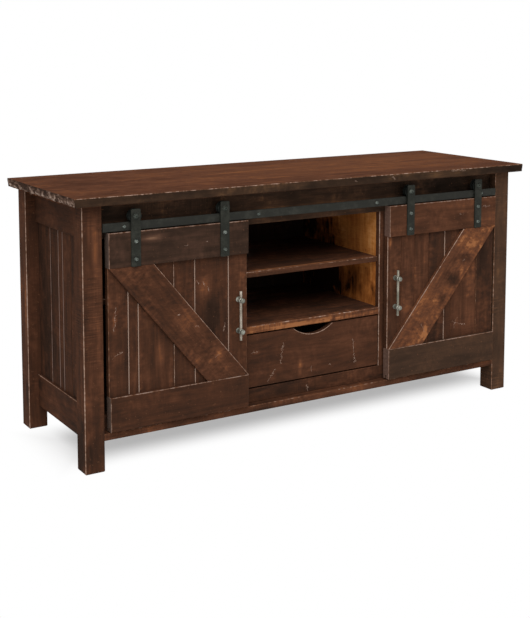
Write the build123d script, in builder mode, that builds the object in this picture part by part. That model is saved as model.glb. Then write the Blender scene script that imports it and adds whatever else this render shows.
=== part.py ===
from build123d import *
import os

os.makedirs("parts", exist_ok=True)

# A media console with two barn doors that roll on a bar under the top.
# Millimetres. X runs along the front, +X to the right as one faces it, +Y to the back, +Z up.
# The origin is on the floor under the middle of the top.

# ---- overall ----
height = 838.0
top_width = 1740.0
top_depth = 576.0
top_thick = 27.0
side_overhang = 37.0
front_overhang = 33.0
leg_size = 63.0
edge_ease = 2.0          # worn arrises of the heavy timber
board_ease = 1.2         # worn arrises of the thinner boards

top_under = height - top_thick
leg_out = top_width / 2 - side_overhang
leg_in = leg_out - leg_size
front = -top_depth / 2 + front_overhang
back = top_depth / 2
front_leg_back = front + leg_size
rear_leg_front = back - leg_size

# ---- joinery ----
tenon_length = 15.0      # of the rails that run along X
tenon_apart = 1.0        # between two tenons that meet in a leg
tenon_thick = 10.0
tenon_shoulder = 10.0    # how much lower and higher than the tenon its rail is
tenon_gap = 0.2          # clearance all round a tenon in its mortise
tongue = 7.0             # length of a tongue
tongue_thick = 6.0
tongue_gap = 0.3         # clearance round a tongue in its groove
v_groove = 2.6           # chamfer on each side of a V joint
plank_joint = 0.2        # gap between neighbouring planks

# ---- side frames ----
side_rail_thick = 29.0   # flush with the legs inside
side_bottom_rail_low = 75.0
side_bottom_rail_height = 106.0
side_top_rail_height = 115.0
side_panel_setback = 9.0
side_panel_thick = 16.0
side_plank_widths = [67.0, 70.0, 67.0, 36.0, 69.0]   # front to back, and the last plank fills the rest

side_rail_out = leg_in + side_rail_thick
side_panel_out = side_rail_out - side_panel_setback
side_panel_in = side_panel_out - side_panel_thick
side_bottom_rail_top = side_bottom_rail_low + side_bottom_rail_height
side_top_rail_low = top_under - side_top_rail_height

# ---- front frame ----
frame_setback = 32.0     # leg face to the face of the frame
frame_thick = 20.0
apron_height = 109.0
opening_width = 544.0
stile_width = 60.0
bottom_rail_height = 45.5
ledge_low = 94.0
ledge_thick = 21.0
ledge_setback = 1.5
ledge_depth = 75.0

face = front + frame_setback
frame_back = face + frame_thick
apron_low = top_under - apron_height
half_opening = opening_width / 2
ledge_top = ledge_low + ledge_thick
floor_top = ledge_top + bottom_rail_height

# ---- carcass ----
panel_thick = 19.0
back_ply = 6.0
back_rail_thick = 20.0
back_rail_setback = 6.0
back_top_rail_height = 70.0
back_bottom_rail_height = 66.5
cleat_size = 22.0
cable_hole = 28.0        # radius
side_hole_inset = 140.0  # partition to the middle of the hole
fit_gap = 0.2            # clearance of a dado or a drilled seat

back_rail_back = back - back_rail_setback
back_rail_front = back_rail_back - back_rail_thick
back_panel_front = back_rail_front - back_ply
back_bottom_rail_low = floor_top - back_bottom_rail_height
partition_in = half_opening
partition_out = half_opening + panel_thick

# ---- shelves ----
fixed_shelf_low = 344.0
fixed_shelf_thick = 24.0
dado_depth = 6.0
shelf_thick = 18.5
shelf_side_gap = 1.5
centre_shelf_setback = 10.0
side_shelf_setback = 12.0
pin_pitch = 32.0
pin_rows = 3
centre_pin_row = 1       # counted from 0 at the lowest row
side_pin_row = 0
centre_shelf_low = 526.5
pin_radius = 2.5
pin_hole_depth = 8.0
pin_reach = 12.0
pin_front_inset = 60.0   # stile back to front pins
pin_rear_inset = 60.0    # back panel to rear pins
seat_gap = 0.3           # pieces on different bodies rest this far apart

pin_row_low = centre_shelf_low - seat_gap - pin_radius - centre_pin_row * pin_pitch
pin_ys = [frame_back + pin_front_inset, back_panel_front - pin_rear_inset]
pin_zs = [pin_row_low + row * pin_pitch for row in range(pin_rows)]
side_shelf_low = pin_zs[side_pin_row] + pin_radius + seat_gap

# ---- doors ----
door_width = 478.0
door_thick = 31.0
door_proud = 10.0        # door face in front of the leg face
door_lift = 4.0          # door above the ledge
door_rail_height = 106.0
door_plank_thick = 19.0
tongue_inset = 12.0      # the planks' end tongues stop short of the door's edges
brace_run = 148.5        # width of the brace measured along a rail
brace_gap = 0.3          # brace to rails
bar_rise = 25.0          # bar above the apron's lower edge
bar_gap = 3.0            # bar above the door
door_meet = 1.0          # closed door to the middle of the stand
door_open_gap = {"left": 17.0, "right": 6.5}     # leg to the open door
# shares of the door's width, from its left side to its right one
door_plank_shares = {
    "left": [0.135, 0.069, 0.252, 0.152, 0.250, 0.142],
    "right": [0.124, 0.123, 0.133, 0.147, 0.069, 0.244, 0.160],
}

door_front = front - door_proud
door_back = door_front + door_thick
plank_front = door_back - door_plank_thick
door_low = ledge_top + door_lift
bar_low = apron_low + bar_rise
door_top = bar_low - bar_gap
door_bottom_rail_top = door_low + door_rail_height
door_top_rail_low = door_top - door_rail_height

# ---- track and hangers ----
bar_height = 26.0
bar_thick = 6.0
bar_end_gap = 2.0
bar_ease = 0.6
bolt_inset = 70.0        # leg to the outer bolts
track_bolt_head = 6.0    # radius
track_bolt_head_thick = 3.5
track_bolt_radius = 4.0
track_bolt_bite = 18.0   # length in the apron
spacer_radius = 6.5
bolt_gap = 0.1           # clearance round a bolt or screw in its own body
head_crown = 0.65        # share of its radius that is flat in front
socket_width = 0.42      # share of the head's width
socket_depth = 0.6       # share of the head's thickness

wheel_tread = 16.5       # radius
wheel_flange = 21.5      # radius
wheel_width = 15.0
wheel_groove_side_gap = 1.0
wheel_strap_gap = 2.5
axle_collar = 8.0        # radius, between strap and wheel
wheel_lip = 1.0          # slope beside the groove
axle_radius = 5.0
axle_gap = 0.05          # running clearance
axle_head = 8.5
axle_head_thick = 5.0
axle_nut = 8.0
axle_nut_thick = 6.0
axle_end = 1.5           # thread beyond the nut

strap_width = 31.0
strap_thick = 4.0
strap_spacing = 304.0
strap_above_axle = 22.0
strap_corner = 2.5       # cut off each corner
strap_screw_drops = [75.5, 130.0]                # below the axle
strap_screw_head = 6.5
strap_screw_head_thick = 4.0
strap_screw_radius = 3.0
strap_screw_length = 26.0

bolt_reach = leg_in - bolt_inset
bolt_xs = [-bolt_reach, -bolt_reach / 3, bolt_reach / 3, bolt_reach]
bar_top = bar_low + bar_height
bar_z = bar_low + bar_height / 2
wheel_y = door_front + wheel_strap_gap + wheel_width / 2
wheel_z = bar_top + seat_gap + wheel_tread
bar_front = wheel_y - bar_thick / 2
bar_back = wheel_y + bar_thick / 2
strap_low = door_top_rail_low
strap_front = door_front - strap_thick

# ---- door guides ----
guide_fin = 4.0
guide_slot = 6.0
guide_slot_depth = 12.0
guide_rise = 9.0         # fin above the door's lower edge
guide_base_thick = 2.5
guide_base_gap = 2.5     # foot to the bottom rail behind it
guide_length = 60.0

guide_y = (door_front + door_back) / 2
guide_fin_y = (guide_y - guide_fin / 2, guide_y + guide_fin / 2)
guide_base_y = (guide_fin_y[0], face - guide_base_gap)

# ---- handles ----
handle_inset = 32.0      # door edge to the rod
handle_length = 159.0
handle_rod = 4.2
handle_rod_ease = 0.8
handle_pitch = 101.0
handle_reach = 26.5      # plank face to the rod's axis
handle_foot = 8.5
handle_foot_thick = 4.0
handle_neck = 4.0
handle_collar = 8.3      # radius of the drum that the rod passes through
handle_drum = 13.0       # its length
handle_drum_ease = 2.0

handle_z = (door_low + door_top) / 2

# ---- drawer ----
drawer_gap = 5.0         # above and below the front
drawer_side_gap = 3.5
drawer_front_ease = 0.8
scoop_width = 154.0
scoop_depth = 27.0
scoop_shoulder = 14.0
drawer_side_thick = 13.0
drawer_side_height = 122.0
drawer_side_lift = 9.0   # sides above the front's lower edge
drawer_length = 400.0
drawer_floor_lift = 10.0
drawer_ply = 6.0
drawer_dado = 6.0
tail_count = 3           # dovetails at each corner of the drawer's box
tail_width = 26.0        # at the end of the board
tail_flare = 2.0         # how much narrower the root is on each side
slide_space = 12.7
slide_height = 45.0
slide_outer_width = 9.0
slide_web_gap = 0.6      # between the webs of two members
slide_sheet = 1.4
slide_gap = 0.3          # between the flanges of two members
slide_length = 390.0
slide_front_gap = 3.0

drawer_half = half_opening - slide_space
drawer_low = floor_top + drawer_gap
drawer_front_height = fixed_shelf_low - floor_top - 2 * drawer_gap
drawer_side_low = drawer_low + drawer_side_lift
drawer_box_back = frame_back + drawer_length
drawer_box_front = frame_back + fit_gap
box_front_back = drawer_box_front + drawer_side_thick
box_back_front = drawer_box_back - drawer_side_thick
slide_z = drawer_side_low + drawer_side_height / 2


def block(x, y, z, mode=Mode.ADD):
    """Fill the box between a low and a high value on each axis."""
    with Locations(((x[0] + x[1]) / 2, (y[0] + y[1]) / 2, (z[0] + z[1]) / 2)):
        Box(x[1] - x[0], y[1] - y[0], z[1] - z[0], mode=mode)


def rod(centre, radius, length, axis, mode=Mode.ADD):
    """Add a cylinder about an axis, with one end at centre and the rest along +axis."""
    turn = {"X": (0, 90, 0), "Y": (-90, 0, 0), "Z": (0, 0, 0)}[axis]
    with Locations(Location(centre, turn)):
        Cylinder(radius, length, align=(Align.CENTER, Align.CENTER, Align.MIN), mode=mode)


def save(made, name):
    made.part.label = name
    export_step(made.part, f"parts/{name}.step")


def mirrored(side):
    """-1 for the left side, +1 for the right."""
    return -1 if side == "left" else 1


def span(side, low, high):
    """The X span between two distances from the middle, on one side."""
    return (low, high) if side == "right" else (-high, -low)


def grown(low_high, gap):
    """A span with a clearance added at both ends."""
    return (low_high[0] - gap, low_high[1] + gap)


def centred(middle, width):
    return (middle - width / 2, middle + width / 2)


# ---- where the tenons and their mortises lie ----
side_rail_mid = (leg_in + side_rail_out) / 2
frame_mid = (face + frame_back) / 2
back_rail_mid = (back_rail_front + back_rail_back) / 2
side_tenon_length = front_leg_back - (frame_mid + tenon_thick / 2) - tenon_apart
side_rail_zs = {
    "bottom": (side_bottom_rail_low, side_bottom_rail_top),
    "top": (side_top_rail_low, top_under),
}
front_rail_zs = {"bottom": (ledge_top, floor_top), "top": (apron_low, top_under)}
back_rail_zs = {
    "bottom": (back_bottom_rail_low, floor_top),
    "top": (top_under - back_top_rail_height, top_under),
}


def side_tenon(side, z, gap=0.0):
    """Tenons at both ends of a side rail, or with a gap the room that they need."""
    mode = Mode.SUBTRACT if gap else Mode.ADD
    x = grown(span(side, *centred(side_rail_mid, tenon_thick)), gap)
    tenon_z = (z[0] + tenon_shoulder - gap, z[1] - tenon_shoulder + gap)
    block(x, (front_leg_back - side_tenon_length - gap, front_leg_back), tenon_z, mode)
    block(x, (rear_leg_front, rear_leg_front + side_tenon_length + gap), tenon_z, mode)


def cross_tenon(side, y_mid, z, gap=0.0):
    """A tenon at one end of a rail that runs along X."""
    mode = Mode.SUBTRACT if gap else Mode.ADD
    tenon_z = (z[0] + tenon_shoulder - gap, z[1] - tenon_shoulder + gap)
    x = span(side, leg_in, leg_in + tenon_length + gap)
    block(x, grown(centred(y_mid, tenon_thick), gap), tenon_z, mode)


# ---- top: planks glued edge to edge into one slab ----
with BuildPart() as top:
    block((-top_width / 2, top_width / 2), (-top_depth / 2, back), (top_under, height))
    chamfer(top.edges(), edge_ease)
save(top, "top")

# ---- legs: square posts with mortises for the rails ----
for side in ("left", "right"):
    for place, y_low, y_mid, zs in (
        ("front", front, frame_mid, front_rail_zs),
        ("rear", rear_leg_front, back_rail_mid, back_rail_zs),
    ):
        with BuildPart() as leg:
            block(span(side, leg_in, leg_out), (y_low, y_low + leg_size), (0, top_under))
            chamfer(leg.edges().filter_by(Axis.Z), edge_ease)
            chamfer(leg.faces().sort_by(Axis.Z)[0].edges(), edge_ease)
            for rail_z in side_rail_zs.values():
                side_tenon(side, rail_z, tenon_gap)
            for rail_z in zs.values():
                cross_tenon(side, y_mid, rail_z, tenon_gap)
        save(leg, f"{place}_{side}_leg")

# ---- side frames: rails tenoned into the legs, grooved for the planks ----
panel_mid = (side_panel_in + side_panel_out) / 2
groove_half = tongue_thick / 2 + tongue_gap
groove_deep = tongue + tongue_gap + plank_joint
for side in ("left", "right"):
    for place, rail_z in side_rail_zs.items():
        with BuildPart() as rail:
            block(span(side, leg_in, side_rail_out), (front_leg_back, rear_leg_front), rail_z)
            outer = rail.faces().sort_by(Axis.X)[-1 if side == "right" else 0]
            chamfer(outer.edges().filter_by(Axis.Y), board_ease)
            side_tenon(side, rail_z)
            groove_x = span(side, panel_mid - groove_half, panel_mid + groove_half)
            if place == "bottom":
                groove_z = (rail_z[1] - tongue - tongue_gap, rail_z[1])
            else:
                groove_z = (rail_z[0], rail_z[0] + tongue + tongue_gap)
            block(groove_x, (front_leg_back, rear_leg_front), groove_z, Mode.SUBTRACT)
        save(rail, f"{side}_side_{place}_rail")


def plank_outline(width, thick, first, last):
    """Section of a V-jointed plank: width along u, face at v = 0, tongue on its far edge."""
    mid = thick / 2
    points = [(v_groove, 0), (width - v_groove, 0), (width, v_groove)]
    if first:
        points[0] = (board_ease, 0)
    if last:
        points[1:] = [(width - board_ease, 0), (width, board_ease)]
    else:
        low, high = mid - tongue_thick / 2, mid + tongue_thick / 2
        points += [(width, low), (width + tongue, low), (width + tongue, high), (width, high)]
    points += [(width, thick), (0, thick)]
    if first:
        points += [(0, board_ease)]
    else:
        low, high = mid - groove_half, mid + groove_half
        points += [(0, high), (groove_deep, high), (groove_deep, low), (0, low), (0, v_groove)]
    return points


# ---- side panels: vertical planks, face outwards ----
panel_low, panel_high = side_bottom_rail_top, side_top_rail_low
side_widths = side_plank_widths + [rear_leg_front - front_leg_back - sum(side_plank_widths)]
for side in ("left", "right"):
    with BuildPart() as planks:
        y_low = front_leg_back
        for n, width in enumerate(side_widths):
            first, last = n == 0, n == len(side_widths) - 1
            own = width - (0 if last else plank_joint)
            outline = plank_outline(own, side_panel_thick, first, last)
            turn = mirrored(side)
            corners = [(turn * (side_panel_out - v), y_low + u) for u, v in outline]
            with BuildSketch(Plane.XY.offset(panel_low)):
                Polygon(*(corners if side == "right" else corners[::-1]), align=None)
            extrude(amount=panel_high - panel_low)
            tongue_x = span(side, *centred(panel_mid, tongue_thick))
            tongue_y = (y_low + (0 if first else groove_deep), y_low + own)
            block(tongue_x, tongue_y, (panel_low - tongue, panel_low))
            block(tongue_x, tongue_y, (panel_high, panel_high + tongue))
            y_low += width
        for y in pin_ys:
            for z in pin_zs:
                depth = pin_hole_depth + fit_gap
                start = side_panel_in if side == "right" else -side_panel_in - depth
                rod((start, y, z), pin_radius + bolt_gap, depth, "X", Mode.SUBTRACT)
    save(planks, f"{side}_side_planks")

# ---- front frame: apron, stiles, bottom rail and the ledge for the door guides ----
with BuildPart() as apron:
    block((-leg_in, leg_in), (face, frame_back), front_rail_zs["top"])
    chamfer(apron.faces().sort_by(Axis.Y)[0].edges().filter_by(Axis.X), board_ease)
    for side in ("left", "right"):
        cross_tenon(side, frame_mid, front_rail_zs["top"])
    for x in bolt_xs:
        rod((x, face, bar_z), track_bolt_radius + bolt_gap, track_bolt_bite + fit_gap, "Y",
            Mode.SUBTRACT)
save(apron, "apron")

for side in ("left", "right"):
    with BuildPart() as stile:
        block(span(side, half_opening, half_opening + stile_width), (face, frame_back),
              (floor_top, apron_low))
        chamfer(stile.faces().sort_by(Axis.Y)[0].edges().filter_by(Axis.Z), board_ease)
    save(stile, f"{side}_face_stile")

with BuildPart() as bottom_rail:
    block((-leg_in, leg_in), (face, frame_back), front_rail_zs["bottom"])
    chamfer(bottom_rail.faces().sort_by(Axis.Y)[0].edges().filter_by(Axis.X), board_ease)
    for side in ("left", "right"):
        cross_tenon(side, frame_mid, front_rail_zs["bottom"])
save(bottom_rail, "front_bottom_rail")

ledge_front = front + ledge_setback
with BuildPart() as ledge:
    block((-leg_in, leg_in), (ledge_front, ledge_front + ledge_depth), (ledge_low, ledge_top))
    chamfer(ledge.faces().sort_by(Axis.Y)[0].edges().filter_by(Axis.X), board_ease)
save(ledge, "door_ledge")

# ---- carcass ----
with BuildPart() as bottom_panel:
    block((-leg_in, leg_in), (frame_back, back_panel_front), (floor_top - panel_thick, floor_top))
save(bottom_panel, "bottom_panel")

fixed_shelf_z = (fixed_shelf_low, fixed_shelf_low + fixed_shelf_thick)
for side in ("left", "right"):
    with BuildPart() as partition:
        block(span(side, partition_in, partition_out), (frame_back, back_panel_front),
              (floor_top, top_under))
        block(span(side, partition_in, partition_in + dado_depth),
              (frame_back, back_panel_front), grown(fixed_shelf_z, fit_gap / 2), Mode.SUBTRACT)
        for y in pin_ys:
            for z in pin_zs:
                rod((mirrored(side) * partition_in - (panel_thick if side == "left" else 0), y, z),
                    pin_radius + bolt_gap, panel_thick, "X", Mode.SUBTRACT)
    save(partition, f"{side}_partition")

with BuildPart() as fixed_shelf:
    seat = partition_in + dado_depth - fit_gap
    block((-seat, seat), (frame_back, back_panel_front), fixed_shelf_z)
    block((-half_opening, half_opening), (face, frame_back), fixed_shelf_z)
    chamfer(fixed_shelf.faces().sort_by(Axis.Y)[0].edges().filter_by(Axis.X), board_ease)
save(fixed_shelf, "fixed_shelf")

for place, rail_z in back_rail_zs.items():
    with BuildPart() as back_rail:
        block((-leg_in, leg_in), (back_rail_front, back_rail_back), rail_z)
        for side in ("left", "right"):
            cross_tenon(side, back_rail_mid, rail_z)
    save(back_rail, f"back_{place}_rail")

# the back is three sheets of plywood that meet behind the partitions
sheet_edge = (partition_in + partition_out) / 2
sheet_z = (floor_top - panel_thick, top_under)
side_hole_x = partition_out + side_hole_inset
side_hole_z = (floor_top + side_shelf_low) / 2
centre_hole_zs = [(fixed_shelf_low + fixed_shelf_thick + centre_shelf_low) / 2,
                  (centre_shelf_low + shelf_thick + apron_low) / 2]
cable_holes = [(0, z) for z in centre_hole_zs] + [(x, side_hole_z) for x in (-side_hole_x, side_hole_x)]
with BuildPart() as back_panels:
    for x in ((-leg_in, -sheet_edge - fit_gap), (-sheet_edge, sheet_edge),
              (sheet_edge + fit_gap, leg_in)):
        block(x, (back_panel_front, back_rail_front), sheet_z)
    for x, z in cable_holes:
        rod((x, back_panel_front, z), cable_hole, back_ply, "Y", Mode.SUBTRACT)
save(back_panels, "back_panels")

# strips screwed inside the frame, which hold the top down
cleat_xs = [(-leg_in, -partition_out), (-partition_in, partition_in), (partition_out, leg_in)]
with BuildPart() as cleats:
    for x in cleat_xs:
        for y in ((frame_back, frame_back + cleat_size),
                  (back_panel_front - cleat_size, back_panel_front)):
            block(x, y, (top_under - cleat_size, top_under))
save(cleats, "top_cleats")

# ---- adjustable shelves on pins ----
centre_shelf_y = (face + centre_shelf_setback, back_panel_front - shelf_side_gap)
side_shelf_y = (frame_back + side_shelf_setback, back_panel_front - shelf_side_gap)
centre_half = half_opening - shelf_side_gap
shelf_spans = {
    "centre": ((-centre_half, centre_half), centre_shelf_y, centre_shelf_low),
    "left": (span("left", partition_out + shelf_side_gap, leg_in - shelf_side_gap), side_shelf_y,
             side_shelf_low),
    "right": (span("right", partition_out + shelf_side_gap, leg_in - shelf_side_gap),
              side_shelf_y, side_shelf_low),
}
for bay, (x, y, low) in shelf_spans.items():
    with BuildPart() as shelf:
        block(x, y, (low, low + shelf_thick))
        chamfer(shelf.faces().sort_by(Axis.Y)[0].edges().filter_by(Axis.X), board_ease)
    save(shelf, f"{bay}_shelf")


def shelf_pin(wall_x, towards, y, z):
    """A steel pin in a wall whose face is at wall_x; towards is the side of the shelf."""
    start = wall_x - towards * pin_hole_depth
    length = pin_hole_depth + pin_reach
    rod((min(start, start + towards * length), y, z), pin_radius, length, "X")


with BuildPart() as pins:
    for y in pin_ys:
        for turn in (-1, 1):
            shelf_pin(turn * partition_in, -turn, y, pin_zs[centre_pin_row])
            shelf_pin(turn * partition_out, turn, y, pin_zs[side_pin_row])
            shelf_pin(turn * side_panel_in, -turn, y, pin_zs[side_pin_row])
save(pins, "shelf_pins")

# ---- track: a flat bar on spacers, bolted to the apron ----
with BuildPart() as bar:
    block((-leg_in + bar_end_gap, leg_in - bar_end_gap), (bar_front, bar_back),
          (bar_low, bar_top))
    chamfer(bar.edges().filter_by(Axis.X), bar_ease)
    for x in bolt_xs:
        rod((x, bar_front, bar_z), track_bolt_radius + bolt_gap, bar_thick, "Y", Mode.SUBTRACT)
save(bar, "track_bar")

with BuildPart() as spacers:
    for x in bolt_xs:
        rod((x, bar_back, bar_z), spacer_radius, face - bar_back, "Y")
        rod((x, bar_back, bar_z), track_bolt_radius + bolt_gap, face - bar_back, "Y",
            Mode.SUBTRACT)
save(spacers, "track_spacers")


def bolt_head(x, y_seat, z, radius, thick):
    """A button head with a hexagon socket, whose seat is at y_seat and faces the back."""
    y_front = y_seat - thick
    with BuildSketch(Plane.YZ.offset(x)) as half_head:
        Polygon((y_seat, z), (y_seat, z + radius), (y_front, z + radius * head_crown),
                (y_front, z), align=None)
    revolve(half_head.sketch, axis=Axis((x, y_seat, z), (0, 1, 0)))
    with BuildSketch(Plane.XZ.offset(-y_front)) as socket:
        with Locations((x, z)):
            RegularPolygon(radius * socket_width, 6)
    extrude(socket.sketch, amount=-thick * socket_depth, mode=Mode.SUBTRACT)


with BuildPart() as track_bolts:
    for x in bolt_xs:
        rod((x, bar_front, bar_z), track_bolt_radius,
            face + track_bolt_bite - bar_front, "Y")
        bolt_head(x, bar_front, bar_z, track_bolt_head, track_bolt_head_thick)
save(track_bolts, "track_bolts")

# ---- doors ----
door_x = {
    "left": (-leg_in + door_open_gap["left"], -leg_in + door_open_gap["left"] + door_width),
    "right": (leg_in - door_open_gap["right"] - door_width, leg_in - door_open_gap["right"]),
}
strap_height = wheel_z + strap_above_axle - strap_low
plank_mid = plank_front + door_plank_thick / 2

# the guides: a fin on a foot on the ledge, in a slot under the door, where the door is both open and closed
with BuildPart() as guides:
    for side, edge in (("left", door_x["left"][1]), ("right", door_x["right"][0])):
        x = centred((edge + mirrored(side) * (door_meet + door_width)) / 2, guide_length)
        block(x, guide_base_y, (ledge_top, ledge_top + guide_base_thick))
        block(x, guide_fin_y, (ledge_top, door_low + guide_rise))
save(guides, "door_guides")


def strap_outline(x):
    """The flat outline of a strap with its corners cut off."""
    across = [(-strap_width / 2, 0), (-strap_width / 2 + strap_corner, -strap_corner),
              (strap_width / 2 - strap_corner, -strap_corner), (strap_width / 2, 0)]
    low, high = strap_low + strap_corner, strap_low + strap_height - strap_corner
    return [(x + u, low + v) for u, v in across] + [(x - u, high - v) for u, v in across]


for side in ("left", "right"):
    x_low, x_high = door_x[side]
    middle = (x_low + x_high) / 2
    hanger_xs = [middle - strap_spacing / 2, middle + strap_spacing / 2]
    screw_zs = [wheel_z - drop for drop in strap_screw_drops]
    groove_y = grown(centred(plank_mid, tongue_thick), tongue_gap)
    groove_x = (x_low + tongue_inset - tongue_gap, x_high - tongue_inset + tongue_gap)

    with BuildPart() as top_rail:
        block((x_low, x_high), (door_front, door_back), (door_top_rail_low, door_top))
        chamfer(top_rail.faces().sort_by(Axis.Y)[0].edges(), board_ease)
        block(groove_x, groove_y,
              (door_top_rail_low, door_top_rail_low + tongue + tongue_gap), Mode.SUBTRACT)
        for x in hanger_xs:
            for z in screw_zs:
                rod((x, door_front, z), strap_screw_radius + bolt_gap,
                    strap_screw_length - strap_thick + fit_gap, "Y", Mode.SUBTRACT)
    save(top_rail, f"{side}_door_top_rail")

    with BuildPart() as low_rail:
        block((x_low, x_high), (door_front, door_back), (door_low, door_bottom_rail_top))
        chamfer(low_rail.faces().sort_by(Axis.Y)[0].edges(), board_ease)
        block(groove_x, groove_y,
              (door_bottom_rail_top - tongue - tongue_gap, door_bottom_rail_top), Mode.SUBTRACT)
        block((x_low, x_high), centred(guide_y, guide_slot),
              (door_low, door_low + guide_slot_depth), Mode.SUBTRACT)
    save(low_rail, f"{side}_door_bottom_rail")

    with BuildPart() as door_planks:
        x_at = x_low
        shares = door_plank_shares[side]
        for n, share in enumerate(shares):
            first, last = n == 0, n == len(shares) - 1
            width = share * door_width / sum(shares)
            own = width - (0 if last else plank_joint)
            outline = plank_outline(own, door_plank_thick, first, last)
            with BuildSketch(Plane.XY.offset(door_bottom_rail_top)):
                Polygon(*[(x_at + u, plank_front + v) for u, v in outline], align=None)
            extrude(amount=door_top_rail_low - door_bottom_rail_top)
            tongue_low = x_low + tongue_inset if first else x_at + groove_deep
            tongue_x = (tongue_low, min(x_at + own, x_high - tongue_inset))
            tongue_y = centred(plank_mid, tongue_thick)
            block(tongue_x, tongue_y, (door_bottom_rail_top - tongue, door_bottom_rail_top))
            block(tongue_x, tongue_y, (door_top_rail_low, door_top_rail_low + tongue))
            x_at += width
    save(door_planks, f"{side}_door_planks")

    # the brace falls from the outer upper corner to the inner lower one
    brace_high = door_top_rail_low - brace_gap
    brace_low = door_bottom_rail_top + brace_gap
    if side == "left":
        corners = [(x_high - brace_run, brace_low), (x_high, brace_low),
                   (x_low + brace_run, brace_high), (x_low, brace_high)]
    else:
        corners = [(x_low, brace_low), (x_low + brace_run, brace_low),
                   (x_high, brace_high), (x_high - brace_run, brace_high)]
    with BuildPart() as brace:
        with BuildSketch(Plane.XZ.offset(-plank_front)):
            Polygon(*corners, align=None)
        extrude(amount=plank_front - door_front)
        chamfer(brace.faces().sort_by(Axis.Y)[0].edges(), board_ease)
    save(brace, f"{side}_door_brace")

    with BuildPart() as straps:
        with BuildSketch(Plane.XZ.offset(-door_front)):
            for x in hanger_xs:
                Polygon(*strap_outline(x), align=None)
                with Locations((x, wheel_z)):
                    Circle(axle_radius + bolt_gap, mode=Mode.SUBTRACT)
                for z in screw_zs:
                    with Locations((x, z)):
                        Circle(strap_screw_radius + bolt_gap, mode=Mode.SUBTRACT)
        extrude(amount=strap_thick)
    save(straps, f"{side}_door_straps")

    with BuildPart() as strap_screws:
        for x in hanger_xs:
            for z in screw_zs:
                rod((x, strap_front, z), strap_screw_radius, strap_screw_length, "Y")
                bolt_head(x, strap_front, z, strap_screw_head, strap_screw_head_thick)
    save(strap_screws, f"{side}_door_strap_screws")

    # axle bolts: head on the strap, collar behind it, wheel, then the nut
    wheel_face = wheel_y - wheel_width / 2
    nut_face = wheel_y + wheel_width / 2 + seat_gap
    with BuildPart() as axles:
        for x in hanger_xs:
            rod((x, strap_front, wheel_z), axle_radius,
                nut_face + axle_nut_thick + axle_end - strap_front, "Y")
            bolt_head(x, strap_front, wheel_z, axle_head, axle_head_thick)
            rod((x, door_front, wheel_z), axle_collar, wheel_face - seat_gap - door_front, "Y")
            with BuildSketch(Plane.XZ.offset(-nut_face)) as nut:
                with Locations((x, wheel_z)):
                    RegularPolygon(axle_nut, 6)
            extrude(nut.sketch, amount=-axle_nut_thick)
    save(axles, f"{side}_door_axle_bolts")

    # grooved wheels that ride on the bar
    half_groove = bar_thick / 2 + wheel_groove_side_gap
    for place, x in zip(("outer", "inner") if side == "left" else ("inner", "outer"), hanger_xs):
        half = wheel_width / 2
        rim = [(wheel_flange, half), (wheel_flange, half_groove + wheel_lip), (wheel_tread, half_groove)]
        side_profile = [(axle_radius + axle_gap, half)] + rim
        section = [(u, r) for r, u in side_profile] + [(-u, r) for r, u in reversed(side_profile)]
        with BuildPart() as wheel:
            with BuildSketch(Plane.YZ.offset(x)):
                Polygon(*[(wheel_y + u, wheel_z + r) for u, r in section], align=None)
            revolve(axis=Axis((x, wheel_y, wheel_z), (0, 1, 0)))
        save(wheel, f"{side}_door_{place}_wheel")

    # bar handle: a rod held by two turned posts
    rod_x = x_high - handle_inset if side == "left" else x_low + handle_inset
    rod_y = plank_front - handle_reach
    with BuildPart() as handle:
        rod((rod_x, rod_y, handle_z - handle_length / 2), handle_rod, handle_length, "Z")
        chamfer(handle.edges().filter_by(GeomType.CIRCLE), handle_rod_ease)
        for z in (handle_z - handle_pitch / 2, handle_z + handle_pitch / 2):
            rod((rod_x, rod_y - handle_drum / 2, z), handle_collar, handle_drum, "Y")
            chamfer(handle.edges(Select.LAST).filter_by(GeomType.CIRCLE), handle_drum_ease)
            rod((rod_x, rod_y, z), handle_neck, handle_reach, "Y")
            rod((rod_x, plank_front - handle_foot_thick, z), handle_foot, handle_foot_thick, "Y")
    save(handle, f"{side}_door_handle")

# ---- drawer: a dovetailed box with an inset face fixed to its front ----
drawer_front_half = half_opening - drawer_side_gap
drawer_top = drawer_low + drawer_front_height
drawer_side_z = (drawer_side_low, drawer_side_low + drawer_side_height)
ply_z = (drawer_side_low + drawer_floor_lift, drawer_side_low + drawer_floor_lift + drawer_ply)
inner_half = drawer_half - drawer_side_thick
ply_half = inner_half + drawer_dado
scoop_radius = (scoop_width ** 2 / 4 + scoop_depth ** 2) / (2 * scoop_depth)


def tails(side, root, end, mode=Mode.ADD):
    """The dovetails at one end of a drawer side, which flare from y = root to y = end."""
    low, high = sorted((root, end))
    half = tail_width / 2
    half_low, half_high = (half - tail_flare, half) if root < end else (half, half - tail_flare)
    pitch = (drawer_side_z[1] - ply_z[1]) / tail_count
    x = span(side, inner_half, drawer_half)
    with BuildSketch(Plane.YZ.offset(x[0])) as outline:
        for n in range(tail_count):
            z = ply_z[1] + (n + 0.5) * pitch
            Polygon((low, z - half_low), (high, z - half_high), (high, z + half_high),
                    (low, z + half_low), align=None)
    extrude(outline.sketch, amount=x[1] - x[0], mode=mode)


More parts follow.
